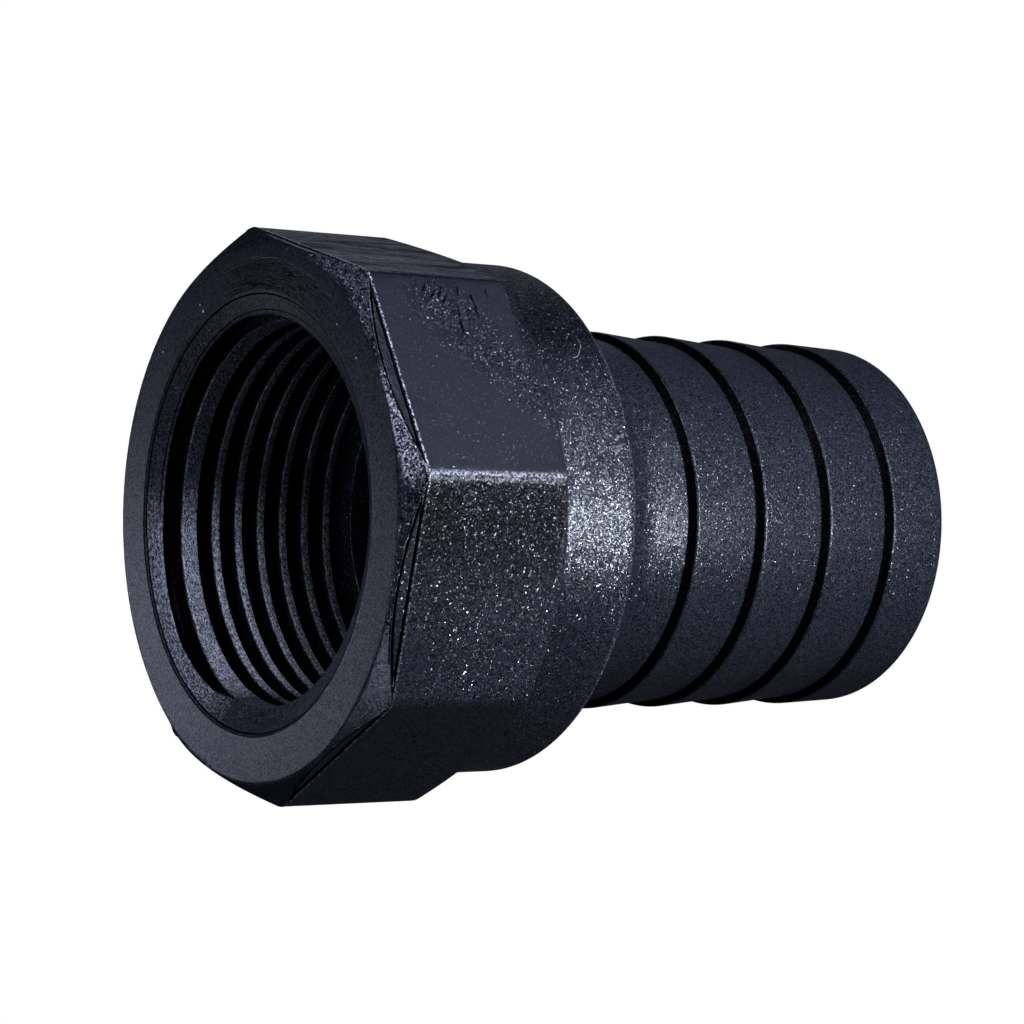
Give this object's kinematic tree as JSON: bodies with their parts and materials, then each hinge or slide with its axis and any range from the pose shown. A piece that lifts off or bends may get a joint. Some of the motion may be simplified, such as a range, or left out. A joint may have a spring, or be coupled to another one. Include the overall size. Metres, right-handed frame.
{
  "type": "thru hull adapter",
  "caption": "Black plastic thru hull adapter: an eight-sided wrench head with a threaded socket, a round collar and a barbed hose tail, bored right through.",
  "frame": {"origin": "centre of the tail end, on the surface that the part stands on", "axes": "+Z along the axis from the tail end up to the socket mouth; +X and +Y each square to a flat of the wrench head"},
  "size_m": [0.0436, 0.0436, 0.0609],
  "materials": {
    "black_plastic": "as moulded, near-black glass-filled plastic, matte with a fine grain"
  },
  "bodies": {
    "root": {"adapter_body": "black_plastic"}
  },
  "joints": []
}
